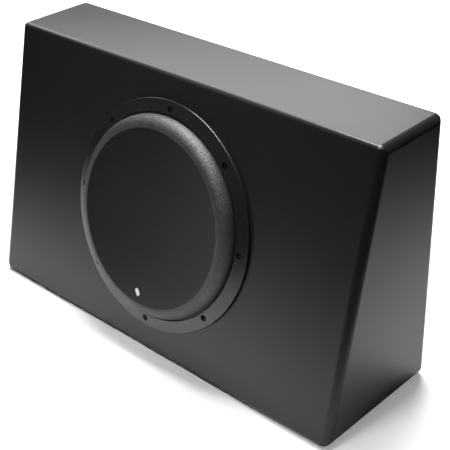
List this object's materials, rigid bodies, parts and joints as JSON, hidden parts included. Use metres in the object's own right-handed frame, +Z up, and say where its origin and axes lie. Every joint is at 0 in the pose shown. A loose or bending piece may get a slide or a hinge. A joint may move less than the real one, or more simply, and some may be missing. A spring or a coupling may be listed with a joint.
{
  "type": "powered car subwoofer",
  "caption": "Sealed wedge cabinet with a slim bass driver in its sloping baffle and a mono amplifier sunk into one end; the cone moves, the knobs turn and the switches slide.",
  "frame": {"origin": "middle of the bounding box in X and Y, in the plane of the feet's undersides", "axes": "+Z up, the sloping baffle faces -Y, +X along the cabinet's width to the right of someone looking at the baffle"},
  "size_m": [0.644, 0.2151, 0.379],
  "materials": {
    "mdf": "sawn fibreboard, unfinished",
    "batten_wood": "planed softwood",
    "vinyl": "satin vinyl with a fine grain",
    "foot_rubber": "matt",
    "zinc_steel": "bright zinc",
    "foam": "closed-cell foam",
    "basket_paint": "matt powder coat on pressed steel",
    "ring_rubber": "satin moulded ring",
    "black_steel": "black oxide",
    "strip_plastic": "glass-filled nylon",
    "gold_plate": "gold plated",
    "surround_rubber": "matt, finely textured",
    "spider_cloth": "resin-dipped cotton",
    "braid": "braided copper tinsel",
    "bright_iron": "zinc-plated iron",
    "ferrite": "sintered ferrite, ground faces",
    "screen_steel": "punched sheet",
    "tray_plastic": "moulded, fine texture",
    "panel_paint": "satin powder coat",
    "panel_screw_steel": "black nickel",
    "anodised": "black anodised extrusion",
    "cover_zinc": "galvanised sheet",
    "board_laminate": "green solder resist",
    "clamp_brass": "plated brass",
    "capacitor_sleeve": "shrink sleeve",
    "copper": "enamelled copper wire",
    "transistor_case": "moulded epoxy",
    "pot_metal": "tinned can",
    "switch_steel": "pressed shell",
    "jack_metal": "nickel plated",
    "insert_white": "white",
    "insert_red": "red",
    "socket_plastic": "moulded nylon",
    "led_lens": "tinted lens",
    "block_plastic": "moulded",
    "screw_nickel": "nickel plated",
    "fuse_amber": "translucent amber",
    "lead_insulation": "red and black wire insulation",
    "dish_plastic": "satin moulded polypropylene",
    "cone_fibre": "pressed fibre",
    "badge_white": "plain white",
    "former_aluminium": "lacquered aluminium",
    "knob_plastic": "satin",
    "slider_plastic": "white nylon"
  },
  "bodies": {
    "cabinet": {"front_baffle": "mdf", "back_panel": "mdf", "top_panel": "mdf", "bottom_panel": "mdf", "left_side_panel": "mdf", "right_side_panel": "mdf", "corner_battens": "batten_wood", "vinyl_wrap": "vinyl", "feet": "foot_rubber", "foot_screws": "zinc_steel", "mounting_gasket": "foam", "basket": "basket_paint", "trim_ring": "ring_rubber", "driver_screws": "black_steel", "tee_nuts": "zinc_steel", "terminal_strip": "strip_plastic", "terminal_tabs": "gold_plate", "surround": "surround_rubber", "spider": "spider_cloth", "tinsel_leads": "braid", "top_plate": "bright_iron", "magnet": "ferrite", "yoke": "bright_iron", "vent_screen": "screen_steel", "motor_screws": "zinc_steel", "amp_tray": "tray_plastic", "amp_gasket": "foam", "amp_tray_screws": "black_steel", "control_panel": "panel_paint", "control_panel_screws": "panel_screw_steel", "heatsink": "anodised", "amp_cover": "cover_zinc", "circuit_board": "board_laminate", "board_standoffs": "clamp_brass", "filter_capacitors": "capacitor_sleeve", "toroid_coil": "copper", "power_transistors": "transistor_case", "potentiometers": "pot_metal", "switch_bodies": "switch_steel", "phono_jack_shells": "jack_metal", "phono_insert_left": "insert_white", "phono_insert_right": "insert_red", "remote_socket": "socket_plastic", "status_led": "led_lens", "power_terminal_block": "block_plastic", "terminal_clamps": "clamp_brass", "terminal_screws": "screw_nickel", "fuse_holder": "socket_plastic", "fuses": "fuse_amber", "speaker_leads": "lead_insulation"},
    "diaphragm": {"cone_dish": "dish_plastic", "cone_body": "cone_fibre", "plain_badge": "badge_white", "voice_coil_former": "former_aluminium", "voice_coil": "copper"},
    "gain_knob": {"gain_knob": "knob_plastic"},
    "crossover_knob": {"crossover_knob": "knob_plastic"},
    "bass_boost_knob": {"bass_boost_knob": "knob_plastic"},
    "phase_slider": {"phase_slider": "slider_plastic"},
    "input_slider": {"input_slider": "slider_plastic"}
  },
  "joints": [
    {"name": "cone_travel", "type": "slide", "parent": "cabinet", "child": "diaphragm", "axis": [0, -0.9718, 0.2358], "range_m": [-0.01, 0.01], "stiffness_N_per_m": 4500, "deforming": ["surround", "spider", "tinsel_leads"]},
    {"name": "gain_turn", "type": "hinge", "parent": "cabinet", "child": "gain_knob", "pos_m": [-0.2935, 0.05357, 0.134], "axis": [-1, 0, 0], "range_deg": [-135, 135]},
    {"name": "crossover_turn", "type": "hinge", "parent": "cabinet", "child": "crossover_knob", "pos_m": [-0.2935, 0.03157, 0.134], "axis": [-1, 0, 0], "range_deg": [-135, 135]},
    {"name": "bass_boost_turn", "type": "hinge", "parent": "cabinet", "child": "bass_boost_knob", "pos_m": [-0.2935, 0.00957, 0.134], "axis": [-1, 0, 0], "range_deg": [-135, 135]},
    {"name": "phase_slide", "type": "slide", "parent": "cabinet", "child": "phase_slider", "axis": [0, -1, 0], "range_m": [0, 0.004]},
    {"name": "input_slide", "type": "slide", "parent": "cabinet", "child": "input_slider", "axis": [0, -1, 0], "range_m": [0, 0.004]}
  ]
}
